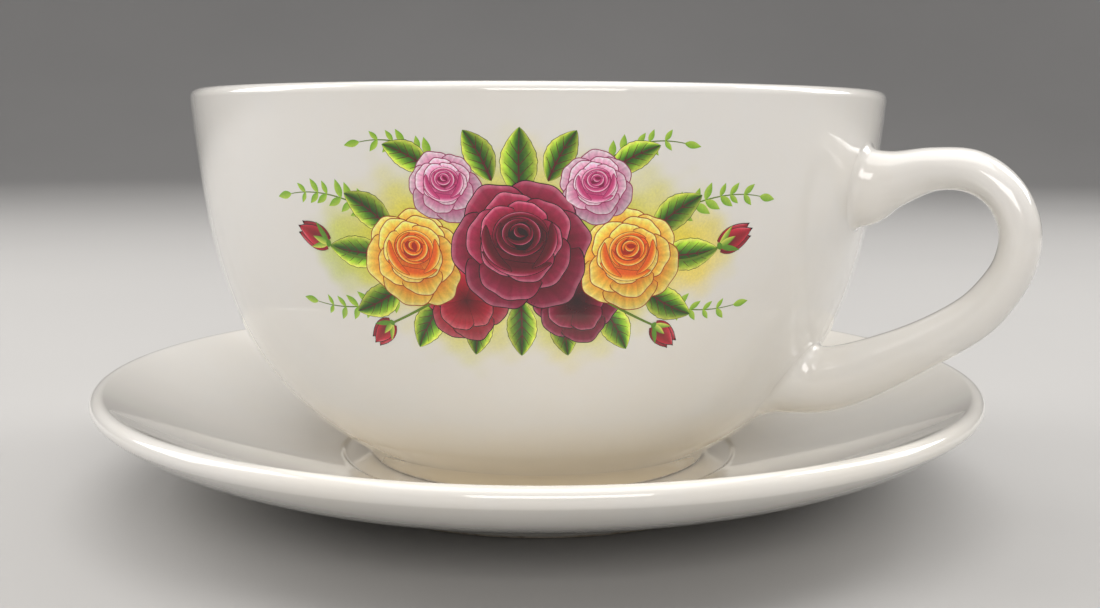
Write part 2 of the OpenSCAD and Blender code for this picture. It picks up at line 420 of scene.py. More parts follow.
def make_cup_foot():
    """A foot ring that flares outwards and upwards into the bowl's heel."""
    inner = FOOT_R - CUP_BAND
    band = standing_band(inner, FOOT_R, CUP_Z)
    hollow_edge = [inner - 1.6 * MM, HOLLOW_Z]
    outline = joined(
        bezier(hollow_edge, [inner - 0.8 * MM, HOLLOW_Z], band[0] + [-0.3 * MM, 1.2 * MM], band[0], 10),
        band,
        bezier(
            band[-1],
            band[-1] + 1.1 * MM * heading(math.radians(FLARE_FROM)),
            SIDE_END - 1.2 * MM * heading(math.radians(FLARE_TO)),
            SIDE_END,
            14,
        ),
        HEEL_INNER + [0, 0.02 * MM],
    )
    piece = revolved("cup_foot", outline, "cup", CUP_FOOT_GLAZE, closed=True)
    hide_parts("cup_foot_ring")


# ---------------------------------------------------------------- saucer and its foot
UNDER_START = np.array([SAUCER_FOOT_R, DISH_LOW + 1.0 * MM])  # where the underside rises from the foot
UNDER_INNER = np.array([SAUCER_FOOT_R - SAUCER_BAND, DISH_LOW])


def make_saucer():
    lip_middle = np.array([SAUCER_R - LIP, SAUCER_Z - LIP])
    rise_start = np.array([WELL_R + STEP_RUN, WELL_Z + WELL_STEP])
    rise_end = lip_middle + LIP * heading(math.radians(RISE_TO + 90))
    rise_way = heading(math.radians(RISE_FROM))
    reach = 0.37 * (SAUCER_R - rise_start[0])
    step_pull = 0.8 * MM
    step_up = bezier(
        [WELL_R, WELL_Z], [WELL_R + step_pull, WELL_Z], rise_start - step_pull * rise_way, rise_start, 10
    )
    top = bezier(
        rise_start,
        rise_start + reach * rise_way,
        rise_end - reach * heading(math.radians(RISE_TO)),
        rise_end,
        60,
    )
    under_end = lip_middle + LIP * heading(math.radians(UNDER_TO - 90))
    under_reach = 0.3 * (SAUCER_R - SAUCER_FOOT_R)
    under = bezier(
        UNDER_START,
        UNDER_START + under_reach * heading(math.radians(UNDER_FROM)),
        under_end - under_reach * heading(math.radians(UNDER_TO)),
        under_end,
        50,
    )
    outline = joined(
        [0, DISH_LOW],
        level(UNDER_INNER[0] / 2, UNDER_INNER[0], DISH_LOW, 6),
        under,
        arc(lip_middle, LIP, UNDER_TO - 90, RISE_TO + 90, 30),
        top[::-1],
        step_up[::-1],
        level(WELL_R, WELL_R / 2, WELL_Z, 6),
        [0, WELL_Z],
    )
    piece = revolved("saucer", outline, "saucer", SAUCER_GLAZE)
    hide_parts("saucer_dish")


def make_saucer_foot():
    band = standing_band(UNDER_INNER[0] + 0.25 * MM, SAUCER_FOOT_R - 0.3 * MM, 0)
    inner_pull = UNDER_INNER + [0.1 * MM, -0.1 * MM]
    outer_pull = UNDER_START - [0.1 * MM, 0.6 * MM]
    outline = joined(
        bezier(UNDER_INNER - [0.6 * MM, 0], inner_pull, band[0] + [0, 0.5 * MM], band[0], 8),
        band,
        bezier(band[-1], band[-1] + [0.2 * MM, 0.9 * MM], outer_pull, UNDER_START, 10),
    )
    ring = revolved("saucer_foot", outline, "saucer", SAUCER_FOOT_GLAZE, closed=True)
    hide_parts("saucer_foot_ring")


# ---------------------------------------------------------------- handle, and the slips that join it
GRIP_T = 5.2 * MM  # thickness in the loop's plane
GRIP_W = 6.6 * MM  # width across it
HANDLE_REACH = 22.4 * MM
ROOT_TOP_Z = RIM_Z - 12.3 * MM
ROOT_LOW_Z = CUP_Z + 14.2 * MM
# The loop's middle line: shares of the reach outwards and of the drop downwards
LOOP_PATH = np.array([
    [-0.14, 0], [0.03, 0], [0.17, -0.03], [0.37, -0.078], [0.59, -0.07], [0.8, 0.025], [0.95, 0.18],
    [1, 0.34], [0.97, 0.48], [0.88, 0.615], [0.67, 0.76], [0.4, 0.9], [0.2, 0.968], [0.015, 0.99], [-0.27, 1],
])
# Its thickness and width at the same places, as shares of the grip's
LOOP_THICK = [2.4, 2.05, 1.42, 1.08, 1.04, 0.98, 0.98, 1, 1.06, 1.14, 1.23, 1.5, 1.69, 1.75, 1.75]
LOOP_WIDE = [1.5, 1.35, 1.12, 1, 1, 1, 1, 1, 1, 1.02, 1.06, 1.15, 1.28, 1.4, 1.5]
LOOP_PLACES = 1400  # places along the loop where its skin is worked out
HANDLE_SIDES = 48
HANDLE_RINGS = 150
ROOT_DEPTH = 0.3 * MM  # how far the handle's ends and the slips run into the wall
SLIP_STEPS = 14
SLIP_PULL = 0.62  # how far a slip's curve is pulled into the corner that it fills
SLIP_SINK = 0.01 * MM  # how far a slip's edge lies under the bowl's skin
SLIP_SHRINK = 0.015  # how much narrower a slip is inside the wall


def smooth_line(values, place):
    """Catmull-Rom curve through the values, at places counted in values."""
    values = np.asarray(values, float)
    last = len(values) - 1
    padded = np.concatenate([[2 * values[0] - values[1]], values, [2 * values[-1] - values[-2]]])
    i = np.minimum(place.astype(int), last - 1)
    t = place - i
    if values.ndim == 2:
        t = t[:, None]
    a, b, c, d = (padded[i + k] for k in range(4))
    return b + 0.5 * t * (c - a + t * (2 * a - 5 * b + 4 * c - d + t * (3 * (b - c) + d - a)))


def handle_lines():
    """The loop's skin as lines from root to root: an array of (place, side, xyz)."""
    top = np.array([bowl_radius(ROOT_TOP_Z), ROOT_TOP_Z])
    low = np.array([bowl_radius(ROOT_LOW_Z), ROOT_LOW_Z])
    out = np.c_[HANDLE_REACH * LOOP_PATH[:, 0], np.zeros(len(LOOP_PATH))]
    place = np.linspace(0, len(LOOP_PATH) - 1, LOOP_PLACES)
    middle = smooth_line(top + (low - top) * LOOP_PATH[:, 1:] + out, place)
    across = left_of(middle)
    half_t = GRIP_T * smooth_line(LOOP_THICK, place) / 2
    half_w = GRIP_W * smooth_line(LOOP_WIDE, place) / 2
    a = np.linspace(0, 2 * math.pi, HANDLE_SIDES, endpoint=False)
    lines = np.empty((len(place), HANDLE_SIDES, 3))
    lines[:, :, 0] = middle[:, :1] - across[:, :1] * half_t[:, None] * np.cos(a)
    lines[:, :, 1] = -half_w[:, None] * np.sin(a)
    lines[:, :, 2] = middle[:, 1:] - across[:, 1:] * half_t[:, None] * np.cos(a)
    return lines


HANDLE_LINES = handle_lines()


def wall_crossings(depth):
    """For each line of the handle's skin, the places where it leaves the wall and comes back to it."""
    over = np.hypot(HANDLE_LINES[..., 0], HANDLE_LINES[..., 1]) - bowl_radius(HANDLE_LINES[..., 2]) + depth
    half = LOOP_PLACES // 2
    out, back = [], []
    for line in over.T:
        i = half - int(np.argmax(line[half::-1] < 0))
        out.append(i + line[i] / (line[i] - line[i + 1]))
        j = half + int(np.argmax(line[half:] < 0))
        back.append(j - 1 + line[j - 1] / (line[j - 1] - line[j]))
    return np.array(out), np.array(back)


def at_place(k, place):
    """A point on a line of the handle's skin at a fractional place."""
    i = min(int(place), LOOP_PLACES - 2)
    return HANDLE_LINES[i, k] + (place - i) * (HANDLE_LINES[i + 1, k] - HANDLE_LINES[i, k])


def on_wall(y, z, lift):
    """A point over the bowl's outside, on the handle's side, at a sideways place and a height."""
    r = float(bowl_radius(z)) + lift
    return np.array([math.sqrt(r * r - y * y), y, z])


def make_handle():
    out, back = wall_crossings(ROOT_DEPTH)
    share = np.linspace(0, 1, HANDLE_RINGS)
    points = [at_place(k, out[k] + (back[k] - out[k]) * q) for q in share for k in range(HANDLE_SIDES)]
    faces = [f[::-1] for f in tube_faces(HANDLE_RINGS, HANDLE_SIDES)]
    last = (HANDLE_RINGS - 1) * HANDLE_SIDES
    faces.append(tuple(range(HANDLE_SIDES)))
    faces.append(tuple(last + k for k in range(HANDLE_SIDES))[::-1])
    piece = new_mesh("handle", points, faces, "cup", CUP_GLAZE)
    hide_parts("cup_handle")


def up_the_handle(k, place, reach, upper):
    """The point of a line of the handle's skin that lies a reach away from a place, away from the wall."""
    i, gone = int(place), 0.0
    while gone < reach:
        gone += np.linalg.norm(HANDLE_LINES[i + 1, k] - HANDLE_LINES[i, k])
        i += 1 if upper else -1
    return HANDLE_LINES[i, k]


def make_slip(name, node_name, upper, spread, climb):
    """Smoothed slip round a root: a ring whose curved face meets the wall and the handle.
    spread and climb say how far it reaches over the wall and up the handle, at an angle round the root."""
    out, back = wall_crossings(0.0)
    root = out if upper else back
    corners = [at_place(k, root[k]) for k in range(HANDLE_SIDES)]
    centre = np.mean(corners, axis=0)
    sections = []
    for k, corner in enumerate(corners):
        away = math.atan2(corner[2] - centre[2], corner[1] - centre[1])
        wall_y, wall_z = corner[1:] + spread(away) * heading(away)
        a = on_wall(wall_y, wall_z, -SLIP_SINK)
        b = up_the_handle(k, root[k], climb(away), upper)
        face = bezier(a, a + SLIP_PULL * (corner - a), b + SLIP_PULL * (corner - b), b, SLIP_STEPS)
        inner = on_wall(corner[1], corner[2], -ROOT_DEPTH)
        inner += SLIP_SHRINK * np.array([0, -corner[1], centre[2] - corner[2]])
        sections.append(np.vstack([face, inner]))
    count = SLIP_STEPS + 2
    faces = []
    for k in range(HANDLE_SIDES):
        n = (k + 1) % HANDLE_SIDES
        for i in range(count):
            j = (i + 1) % count
            face = (k * count + i, k * count + j, n * count + j, n * count + i)
            faces.append(face if upper else face[::-1])
    piece = new_mesh(name, np.vstack(sections), faces, "cup", CUP_GLAZE)
    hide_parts(node_name)


make_bowl()
make_cup_foot()
make_saucer()
make_saucer_foot()
make_handle()
make_slip(
    "upper_slip", "upper_slip_joint", True,
    lambda a: (1.3 - 0.5 * abs(math.sin(a))) * MM,
    lambda a: (1.5 - 0.5 * abs(math.sin(a))) * MM,
)
make_slip(
    "lower_slip", "lower_slip_joint", False,
    lambda a: (1.3 + 1.1 * math.cos(a) ** 2 - 0.3 * math.sin(a)) * MM,
    lambda a: (2.2 + 1.2 * math.cos(a) ** 2 - 0.3 * math.sin(a)) * MM,
)

# ---------------------------------------------------------------- inks of the print
# A ramp of inks goes from a petal's root (0) to its lip (1), or from a leaf's midrib to its edge. Colours
# are as seen on a screen.
CRIMSON = [(0.0, (0.15, 0.01, 0.04)), (0.45, (0.34, 0.02, 0.09)), (0.75, (0.52, 0.05, 0.18)),
           (0.93, (0.68, 0.17, 0.32)), (1.0, (0.86, 0.47, 0.58))]
YELLOW = [(0.0, (0.72, 0.14, 0.03)), (0.45, (0.93, 0.38, 0.08)), (0.72, (0.98, 0.62, 0.18)),
          (0.92, (1.0, 0.85, 0.36)), (1.0, (1.0, 0.94, 0.58))]
PINK = [(0.0, (0.50, 0.04, 0.25)), (0.45, (0.78, 0.24, 0.47)), (0.72, (0.92, 0.52, 0.70)),
        (0.92, (0.97, 0.78, 0.87)), (1.0, (1.0, 0.93, 0.96))]
RED = [(0.0, (0.36, 0.01, 0.06)), (0.4, (0.60, 0.03, 0.12)), (0.8, (0.80, 0.11, 0.22)),
       (1.0, (0.93, 0.45, 0.50))]
CRIMSON_EDGE, CRIMSON_HEART = (0.17, 0.01, 0.05), (0.12, 0.005, 0.03)
YELLOW_EDGE, YELLOW_HEART = (0.60, 0.20, 0.05), (0.62, 0.13, 0.02)
PINK_EDGE, PINK_HEART = (0.58, 0.12, 0.34), (0.45, 0.03, 0.22)
LEAF_DARK = (0.11, 0.29, 0.06)
LEAF_EDGE = (0.099, 0.261, 0.054)
LEAF_MID = (0.34, 0.53, 0.10)
LEAF_LIGHT = (0.60, 0.74, 0.19)
LEAF_RIM = (0.88, 0.89, 0.38)
LEAF = [(0.0, LEAF_DARK), (0.28, LEAF_MID), (0.62, LEAF_LIGHT), (0.95, LEAF_RIM)]
VEIN = (0.36, 0.10, 0.10)
SEPAL = (0.36, 0.58, 0.12)
YOUNG = (0.47, 0.68, 0.14)
YOUNG_LIGHT = (0.70, 0.82, 0.30)
STEM = (0.38, 0.50, 0.12)
WASH_YELLOW = (0.96, 0.86, 0.18)
WASH_GREEN = (0.76, 0.82, 0.18)

# ---------------------------------------------------------------- patches of ink
# The print is laid down as patches of ink. A patch is a grid of points (u along the wall, v upwards, in mm)
# with a colour and a strength at each point. Within a flower, later patches lie over earlier ones.
PRINT = {}
LEAF_LAYERS = []  # the layer of each patch of the leaves


def lay(piece, grid, colours, strength=1.0):
    """Adds a patch to a piece of the print, in one colour or in a colour for each point."""
    shape = grid.shape[:2]
    colours = np.clip(np.broadcast_to(colours, shape + (3,)), 0.0, 1.0)
    strength = np.broadcast_to(strength, shape)[..., None]
    PRINT.setdefault(piece, []).append((grid, np.concatenate([colours, strength], axis=2)))


def blend_inks(stops, value):
    """Colours from a list of (place, colour) stops."""
    places = [p for p, _ in stops]
    return np.stack([np.interp(value, places, [c[i] for _, c in stops]) for i in range(3)], axis=-1)


def grid_lines(rows, columns):
    """The two ways over a patch: from 0 to 1 down its rows and from -1 to 1 along its columns."""
    return np.linspace(0, 1, rows)[:, None], np.linspace(-1, 1, columns)[None, :]


def axes_at(angle):
    """Unit vectors ahead and to the left, for a heading in degrees."""
    ahead = heading(math.radians(angle))
    return ahead, np.array([-ahead[1], ahead[0]])


def spread_out(base, along, aside, ahead, side):
    """A grid of points at distances ahead of a base and to its left."""
    return np.asarray(base) + along[..., None] * ahead + aside[..., None] * side


def strip(piece, points, wide_from, wide_to, colour):
    """A tapering line of ink along a smooth curve."""
    side = left_of(points) * np.linspace(wide_from, wide_to, len(points))[:, None] / 2
    lay(piece, np.stack([points - side, points + side], axis=0), colour)


def curve(a, b, c, steps):
    """Points on a curve from a to c that is pulled towards b."""
    t = np.linspace(0, 1, steps + 1)[:, None]
    a, b, c = (np.asarray(p, float) for p in (a, b, c))
    return a * (1 - t) ** 2 + 2 * b * (1 - t) * t + c * t * t


# ---------------------------------------------------------------- flowers
# Patches of ink in one flower of each kind
ROSE_PATCHES = 54
SHADE_PATCHES = 22
BUD_PATCHES = 11
PETAL_LINE = 0.10  # width of the drawn line round a petal, in mm
ROLL_LINE = 0.07
BUD_LINE = 0.06
# The rings of petals of a rose: how far a ring is raised, petals, first angle, length, spread, tip and tilt.
# Lengths are shares of the rose's size, and angles are in degrees.
ROSE_RINGS = (
    (0, 6, 0, 1.0, 42, 0.05, 0.04),
    (0.06, 5, 33, 0.80, 44, 0.05, 0.06),
    (0.12, 5, 70, 0.60, 48, 0.04, 0.08),
)
# The rings of a bloom in the shade, none of them raised
SHADE_RINGS = (
    (6, 0, 1.0, 42, 0.05, 0.04),
    (5, 33, 0.74, 44, 0.05, 0.06),
)
# The rolled lips of a rose's near petals: place (u, v), radius, first and last angle, and thickness
NEAR_LIPS = (
    (0, 0.10, 0.60, 198, 322, 0.24),
    (-0.05, 0.10, 0.52, 150, 262, 0.17),
    (0.05, 0.12, 0.50, 285, 395, 0.16),
)


def fan(piece, centre, angle, length, spread, inks, edge, dim=1.0, tip=0.0, squash=1.0, curl=0.0):
    """A broad petal that opens from a centre, with a thin drawn edge beneath it. Angles are in degrees."""
    s, t = grid_lines(15, 31)
    middle, half = math.radians(angle), math.radians(spread)
    wave = 1 + 0.018 * np.sin(5.3 * t + 0.07 * angle) + 0.012 * np.sin(11 * t + 0.13 * angle)
    shape = (1 - 0.20 * np.abs(t) ** 3.2 + tip * np.exp(-((t / 0.3) ** 2))) * wave

    def outline(grow, widen):
        rim = length * shape + grow
        way = middle + (half + widen) * t + curl * s * s
        u, v = s * rim * np.cos(way), s * rim * np.sin(way) * squash
        return np.stack([centre[0] + u, centre[1] + v], axis=-1)

    deep = s * (1 - 0.16 * np.abs(t) ** 5) - 0.13 * np.maximum(t, 0) ** 3 * (1 - 0.4 * s)
    streak = 1 + 0.05 * np.sin(23 * t + 0.31 * angle) * s + 0.03 * np.sin(41 * t - 0.2 * angle) * s
    light = dim * (1 + 0.10 * math.cos(middle - math.radians(115))) * streak
    lay(piece, outline(PETAL_LINE, 0.014), edge)
    lay(piece, outline(0, 0), blend_inks(inks, deep) * light[..., None])


def roll(piece, centre, radius, start, end, thick, inks, edge, squash=0.9):
    """The rolled lip of a petal: a crescent round a centre."""
    s, w = np.linspace(0, 1, 6)[:, None], np.linspace(0, 1, 25)[None, :]
    way = np.radians(start + (end - start) * w)
    full = np.sin(math.pi * w).clip(0) ** 0.6

    def outline(grow):
        inner = radius - thick * full - grow
        r = inner + (radius + grow - inner) * s
        u, v = r * np.cos(way), r * np.sin(way) * squash
        return np.stack([centre[0] + u, centre[1] + v], axis=-1)

    lay(piece, outline(ROLL_LINE), edge)
    lay(piece, outline(0), blend_inks(inks, s * (0.55 + 0.45 * full)))


def ring_petals(rng, piece, centre, count, first, length, spread, inks, edge, dim, tip, tilt):
    """A ring of fans. A tilt makes the near (lower) petals longer and the far ones shorter."""
    turns = [first + 360 * k / count for k in range(count)]
    for turn in sorted(turns, key=lambda a: -math.sin(math.radians(a))):
        angle = turn + rng.uniform(-7, 7)
        reach = length * (1 - tilt * math.sin(math.radians(angle))) * rng.uniform(0.95, 1.05)
        wide = spread * rng.uniform(0.92, 1.08)
        fan(piece, centre, angle, reach, wide, inks, edge, dim, tip, curl=rng.uniform(-0.08, 0.08))


def bloom(rng, piece, centre, size, inks, heart, edge, first, dims=(0.86, 0.95, 1.0)):
    """An open rose seen a little from above: three rings of petals round a tight rolled heart."""
    cu, cv = centre
    for dim, (rise, count, turn, length, spread, tip, tilt) in zip(dims, ROSE_RINGS):
        place = (cu, cv + rise * size)
        ring_petals(rng, piece, place, count, first + turn, length * size, spread, inks, edge, dim, tip, tilt)
    middle = (cu, cv + 0.17 * size)
    well = [(0.0, heart), (0.7, heart), (1.0, inks[1][1])]
    fan(piece, middle, 90, 0.40 * size, 180, well, edge, squash=0.86)
    for k in range(7):
        place = (middle[0] + 0.01 * size * math.cos(k), middle[1] + 0.012 * size * k)
        turn = first + 137.5 * k
        radius, thick = size * (0.41 - 0.052 * k), size * (0.115 - 0.009 * k)
        roll(piece, place, radius, turn, turn + 205, thick, inks[1:], edge)
    for u, v, radius, start, end, thick in NEAR_LIPS:
        lip_at = (cu + u * size, cv + v * size)
        roll(piece, lip_at, radius * size, start, end, thick * size, inks[1:], edge, 0.92)


def dusky_bloom(rng, centre, size, inks, first):
    """A bloom in the shade of the others, of which only the outer petals show."""
    for dim, (count, turn, length, spread, tip, tilt) in zip((0.8, 0.9), SHADE_RINGS):
        ring_petals(rng, "print_shade", centre, count, first + turn, length * size, spread, inks,
                    CRIMSON_EDGE, dim, tip, tilt)


def bud(base, angle, size, stem_from, stem_mid):
    """A closed red bud on its stem, with pointed sepals."""
    piece = "print_buds"
    base = np.asarray(base)
    ahead, side = axes_at(angle)
    strip(piece, curve(stem_from, stem_mid, base, 14), 0.34, 0.26, STEM)
    s, t = grid_lines(12, 9)
    swell = np.sin(math.pi * (0.06 + 0.94 * s) ** 0.80) ** 0.8
    inks = blend_inks(RED, 0.25 + 0.6 * s - 0.28 * np.cos(2.6 * t + 0.4))
    for lean, reach, wide, dim in ((-15, 0.92, 0.24, 0.82), (14, 0.96, 0.24, 0.92), (0, 1.0, 0.26, 1.0)):
        run, across = axes_at(angle + lean / 2)
        root = base + across * 0.004 * lean * size
        for grow, longer, ink in ((BUD_LINE, 0.08, CRIMSON_EDGE), (0, 0, inks * dim)):
            along = (size * reach + longer) * s - 0.05 * size * t * t
            lay(piece, spread_out(root, along, (size * wide * swell + grow) * t, run, across), ink)
    small_leaf(piece, base - 0.06 * size * ahead, angle + 34, 0.62 * size, 0.15 * size, SEPAL, LEAF_RIM)
    small_leaf(piece, base - 0.06 * size * ahead, angle - 34, 0.66 * size, 0.15 * size, LEAF_MID, SEPAL)
    small_leaf(piece, base - 0.08 * size * ahead, angle + 4, 0.55 * size, 0.17 * size, SEPAL, LEAF_RIM)
    s, t = grid_lines(7, 7)
    swell = 0.10 * size * np.sin(math.pi * s) ** 0.6
    hip = spread_out(base, 0.16 * size * (s - 0.75), swell * t, ahead, side)
    lay(piece, hip, blend_inks([(0, LEAF_MID), (1, SEPAL)], 0.5 + 0.5 * t * np.ones_like(s)))


# ---------------------------------------------------------------- leaves and the wash
VEINS = 4  # side veins on each side of a leaf
LEAF_LINE = 0.07
LEAF_LEVELS = 4  # neighbouring leaves lie on this many levels in turn
LEVEL_LAYERS = 3  # a level holds a leaf's drawn edge, its blade and its veins


def leaf(base, angle, length, width, bend, tone=1.0):
    """A rose leaf with a toothed edge, a midrib and side veins. Its neighbours lie on other levels."""
    piece = "print_leaves"
    patches = 2 * VEINS + 3
    low = LEVEL_LAYERS * (len(LEAF_LAYERS) // patches % LEAF_LEVELS)
    LEAF_LAYERS.extend([low, low + 1] + [low + 2] * (patches - 2))
    ahead, side = axes_at(angle)
    s, t = grid_lines(25, 9)

    def place(s, t, grow=0.0):
        teeth = 1 + 0.07 * (1 - (7 * s % 1.0)) * np.sin(math.pi * s)
        half = width / 2 * np.sin(math.pi * np.clip(s, 0, 1) ** 0.82) ** 0.85 * teeth
        half = half + grow * np.sin(math.pi * s) ** 0.5
        middle = length * bend * s * (1 - s)
        return spread_out(base, length * s + 0.25 * half * np.abs(t), middle + half * t, ahead, side)

    inks = blend_inks(LEAF, np.abs(t) ** 1.6)
    lighter = np.where(t > 0, 1.12, 0.88) * (0.92 + 0.14 * np.sin(math.pi * s)) * tone
    ripple = 1 + 0.10 * np.cos(2 * math.pi * (VEINS + 1) * (s - 0.28 * np.abs(t)))
    lay(piece, place(s, t, LEAF_LINE), LEAF_EDGE)
    lay(piece, place(s, t), inks * (lighter * ripple)[..., None])
    midrib = np.linspace(0.02, 0.93, 12)
    strip(piece, place(midrib, np.zeros_like(midrib)), 0.26, 0.07, VEIN)
    run = np.linspace(0, 0.78, 6)
    for k in range(VEINS):
        start = 0.16 + 0.62 * k / VEINS
        for sign in (-1, 1):
            strip(piece, place(start + 0.20 * run, sign * run), 0.13, 0.04, VEIN)


def small_leaf(piece, base, angle, length, width, ink, light):
    """A plain pointed leaflet with a light edge."""
    s, t = grid_lines(9, 5)
    half = width / 2 * np.sin(math.pi * s**0.85)
    shade = (0.5 + 0.5 * t) * np.ones_like(s)
    grid = spread_out(base, length * s * np.ones_like(t), half * t, *axes_at(angle))
    lay(piece, grid, blend_inks([(0, ink), (1, light)], shade))


def sprig(rng, base, mid, end, pairs, size):
    """A thin stem with pairs of leaflets and one at its end."""
    piece = "print_sprigs"
    line = curve(base, mid, end, 24)
    strip(piece, line, 0.24, 0.10, STEM)
    for k in range(pairs):
        i = int(5 + 18 * k / pairs)
        ahead = line[i + 1] - line[i]
        turn = math.degrees(math.atan2(ahead[1], ahead[0]))
        for sign in (-1, 1):
            reach = size * (1 - 0.35 * k / pairs) * rng.uniform(0.85, 1.15)
            angle = turn + sign * rng.uniform(38, 62)
            small_leaf(piece, line[i], angle, reach, reach * 0.42, YOUNG, YOUNG_LIGHT)
    ahead = line[-1] - line[-2]
    turn = math.degrees(math.atan2(ahead[1], ahead[0]))
    small_leaf(piece, line[-1] - 0.3 * ahead, turn, size, size * 0.4, YOUNG, YOUNG_LIGHT)


WASH_TOP = 54.5  # the wash has faded out below the rim
WASH_FADE = 2.5
WASH_STEP = 0.5
WASH_EDGE = 0.02  # fainter than this, the wash is left out
WASH_SPOTS = [(0, 42, 8.6, 0.85), (-12, 39.5, 8.0, 0.95), (12, 39.5, 8.0, 0.95), (-20, 39, 5.0, 0.8),
              (20, 39, 5.0, 0.8), (-6, 33, 6.6, 0.8), (6, 33, 6.6, 0.8)]  # (u, v, radius, strength)


def wash():
    """A soft feathered wash behind the flowers, strongest in its middle."""
    spots = np.asarray(WASH_SPOTS, float)
    low = (spots[:, :2] - 1.9 * spots[:, 2:3]).min(axis=0)
    high = (spots[:, :2] + 1.9 * spots[:, 2:3]).max(axis=0)
    u = np.arange(low[0], high[0], WASH_STEP)[None, :]
    v = np.arange(low[1], high[1], WASH_STEP)[:, None]
    amount = np.zeros((v.size, u.size))
    for su, sv, sr, sk in spots:
        ripple = 1 + 0.08 * np.sin(1.1 * u + 0.7 * v + su) + 0.04 * np.sin(2.3 * v - 1.3 * u)
        amount = 1 - (1 - amount) * (1 - sk * np.exp(-((np.hypot(u - su, v - sv) / sr * ripple) ** 4)))
    amount = np.clip((amount - WASH_EDGE) / (1 - WASH_EDGE), 0, 1) * np.clip((WASH_TOP - v) / WASH_FADE, 0, 1)
    green = np.clip(0.5 + 0.5 * np.sin(0.21 * u + 0.5) * np.cos(0.17 * v), 0, 1)
    grid = np.stack(np.broadcast_arrays(u, v), axis=-1)
    lay("print_wash", grid, blend_inks([(0, WASH_YELLOW), (1, WASH_GREEN)], green), amount)


# ---------------------------------------------------------------- the spray
# The leaves of one side: place (u, v), heading, length, width, bend and tone
SIDE_LEAVES = (
    (3.0, 47.0, 62, 6.4, 3.1, 0.15, 0.95),
    (9.5, 48.0, 28, 6.4, 3.0, 0.20, 1.05),
    (14.5, 41.0, 36, 7.4, 3.5, 0.20, 0.92),
    (15.5, 38.5, 4, 7.8, 3.6, -0.15, 1.05),
    (14.0, 34.8, 332, 7.6, 3.5, -0.20, 0.95),
    (9.0, 33.0, 304, 7.0, 3.4, 0.15, 1.05),
    (4.0, 32.5, 286, 6.2, 3.1, 0.15, 0.90),
)


def half_spray(rng, side):
    """The flowers and leaves on one side of the middle bloom. A side of -1 is the left, as in a mirror."""
    def at(u, v):
        return (side * u, v)

    def way(angle):
        return angle if side > 0 else 180 - angle

    sprig(rng, at(13, 41), at(21, 46.5), at(28.5, 45.0), 7, 2.4)
    sprig(rng, at(12, 35), at(19, 30.5), at(27.0, 32.0), 6, 2.3)
    sprig(rng, at(8, 48), at(12, 52.5), at(18.0, 51.2), 5, 2.1)
    for u, v, angle, length, width, bend, tone in SIDE_LEAVES:
        leaf(at(u, v), way(angle), length, width, side * bend, tone)
    dusky_bloom(rng, at(6.4, 33.4), 4.7, RED if side < 0 else CRIMSON, 20 + 30 * side)
    bud(at(23.6, 39.4), way(24), 4.6, at(15.5, 38.0), at(20.0, 37.2))
    bud(at(16.2, 30.0), way(318), 3.9, at(8.5, 34.0), at(12.5, 31.6))
    bloom(rng, "print_pink_roses", at(8.2, 46.4), 3.9, PINK, PINK_HEART, PINK_EDGE, 15 + 20 * side)
    bloom(rng, "print_yellow_roses", at(12.2, 38.2), 5.7, YELLOW, YELLOW_HEART, YELLOW_EDGE, 40 * side,
          (0.97, 1.0, 1.0))


def draw_spray():
    """A formal spray: a large bloom in the middle, and the same flowers and leaves to its left and right."""
    rng = np.random.default_rng(7)
    wash()
    bloom(rng, "print_crimson_rose", (0, 39.6), 7.4, CRIMSON, CRIMSON_HEART, CRIMSON_EDGE, 5)
    leaf((0, 45.0), 90, 8.0, 3.8, 0.05)
    leaf((0, 33.5), 270, 7.0, 3.4, 0.05, 0.95)
    for side in (-1, 1):
        half_spray(rng, side)


# ---------------------------------------------------------------- the print on the wall
# The spray is drawn in mm: u along the wall from its middle, v upwards from the table
SPRAY_MIDDLE = math.radians(-63)
SPRAY_R = 47 * MM  # the wall's radius that u is measured at
MICRON = 1e-6
SAME_PLACE = 0.5 * MICRON
FAINTEST = 0.004  # a face whose ink is weaker than this is left out
# Each piece of the print: its lowest layer over the glaze and the step to the next layer, in microns, and the
# patches in one flower, after which the layers start again
LAYERS = {
    "print_wash": (2, 0, None),
    "print_sprigs": (4, 0.05, None),
    "print_leaves": (9, 1.5, None),
    "print_shade": (27, 0.8, SHADE_PATCHES),
    "print_buds": (45, 0.8, BUD_PATCHES),
    "print_pink_roses": (54, 1.0, ROSE_PATCHES),
    "print_yellow_roses": (55, 1.0, ROSE_PATCHES),
    "print_crimson_rose": (72, 1.0, ROSE_PATCHES),
}
PRINT_GRAIN_CELLS = 4200.0
PRINT_CLOUD_CELLS = 420.0


def linear(colour):
    """Colours as seen on a screen to scene-linear ones."""
    return np.where(colour <= 0.04045, colour / 12.92, ((colour + 0.055) / 1.055) ** 2.4)


def print_material():
    """Ink under the gloss: each point's own colour, with the grain and clouds of a fired transfer."""
    material = bpy.data.materials.new("rose_print")
    tree, shader = nodes_of(material)
    where = where_socket(tree)
    glaze_surface(tree, shader, where)
    ink = node(tree, "ShaderNodeVertexColor", layer_name="ink")
    grain = ramp(tree, noise(tree, where, PRINT_GRAIN_CELLS, 2.0), 0.3, 0.7, 0.90, 1.08)
    cloud = ramp(tree, noise(tree, where, PRINT_CLOUD_CELLS, 3.0), 0.3, 0.7, 0.95, 1.05)
    body = body_colour(tree, where)
    density = node(tree, "ShaderNodeVectorMath", operation="SCALE")
    tree.links.new(ink.outputs["Color"], density.inputs[0])
    tree.links.new(maths(tree, "MULTIPLY", grain, cloud), density.inputs["Scale"])
    tree.links.new(mix(tree, ink.outputs["Alpha"], body, density.outputs[0]), shader.inputs["Base Color"])
    return material


